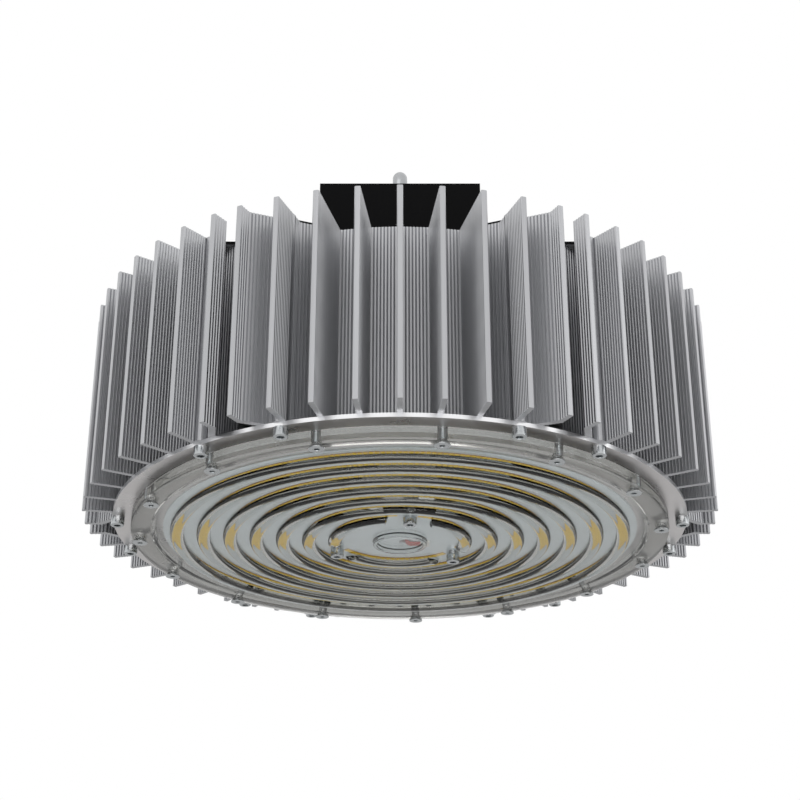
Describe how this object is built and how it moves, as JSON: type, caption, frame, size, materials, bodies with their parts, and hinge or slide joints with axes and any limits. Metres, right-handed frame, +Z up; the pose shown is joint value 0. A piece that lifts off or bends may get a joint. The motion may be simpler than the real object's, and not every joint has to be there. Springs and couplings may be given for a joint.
{
  "type": "high bay light",
  "caption": "Round high bay light: a ring of finned heat sinks over a clear ring lens with yellow light packages, and a black driver box with a lifting eye on top.",
  "frame": {"origin": "centre of the lifting eye's hole, on the lamp's axis", "axes": "+Z up along the lamp's axis, +X along the eye's hole, -Y the lamp's front with the middle of one heat-sink segment"},
  "size_m": [0.3998, 0.4, 0.2779],
  "materials": {
    "fin_metal": "plain as-extruded aluminium",
    "plate_metal": "turned and polished aluminium",
    "board_white": "white solder mask on an aluminium board",
    "package_yellow": "yellow phosphor",
    "clear_lens": "clear moulded plastic",
    "screw_steel": "bright steel",
    "black_paint": "satin black powder coat",
    "driver_grey": "potted case",
    "lead_red": "insulated lead",
    "connector_white": "moulded block",
    "grommet_black": "soft bush",
    "gland_black": "nylon",
    "eye_steel": "zinc-plated forging"
  },
  "bodies": {
    "root": {"heatsink_segment_1": "fin_metal", "heatsink_segment_2": "fin_metal", "heatsink_segment_3": "fin_metal", "heatsink_segment_4": "fin_metal", "heatsink_segment_5": "fin_metal", "heatsink_segment_6": "fin_metal", "base_plate": "plate_metal", "led_board": "board_white", "led_ring_1": "package_yellow", "led_ring_2": "package_yellow", "led_ring_3": "package_yellow", "led_ring_4": "package_yellow", "led_ring_5": "package_yellow", "led_ring_6": "package_yellow", "led_ring_7": "package_yellow", "lens_cover": "clear_lens", "segment_screws": "screw_steel", "lens_rim_screws": "screw_steel", "lens_centre_screws": "screw_steel", "top_plate": "black_paint", "top_plate_screws": "screw_steel", "driver_cover": "black_paint", "cover_screws": "screw_steel", "led_driver": "driver_grey", "lamp_leads": "lead_red", "board_connector": "connector_white", "lead_grommet": "grommet_black", "cable_gland": "gland_black", "gland_nut": "gland_black", "eye_bolt": "eye_steel", "eye_washers": "screw_steel", "eye_nuts": "screw_steel"}
  },
  "joints": []
}
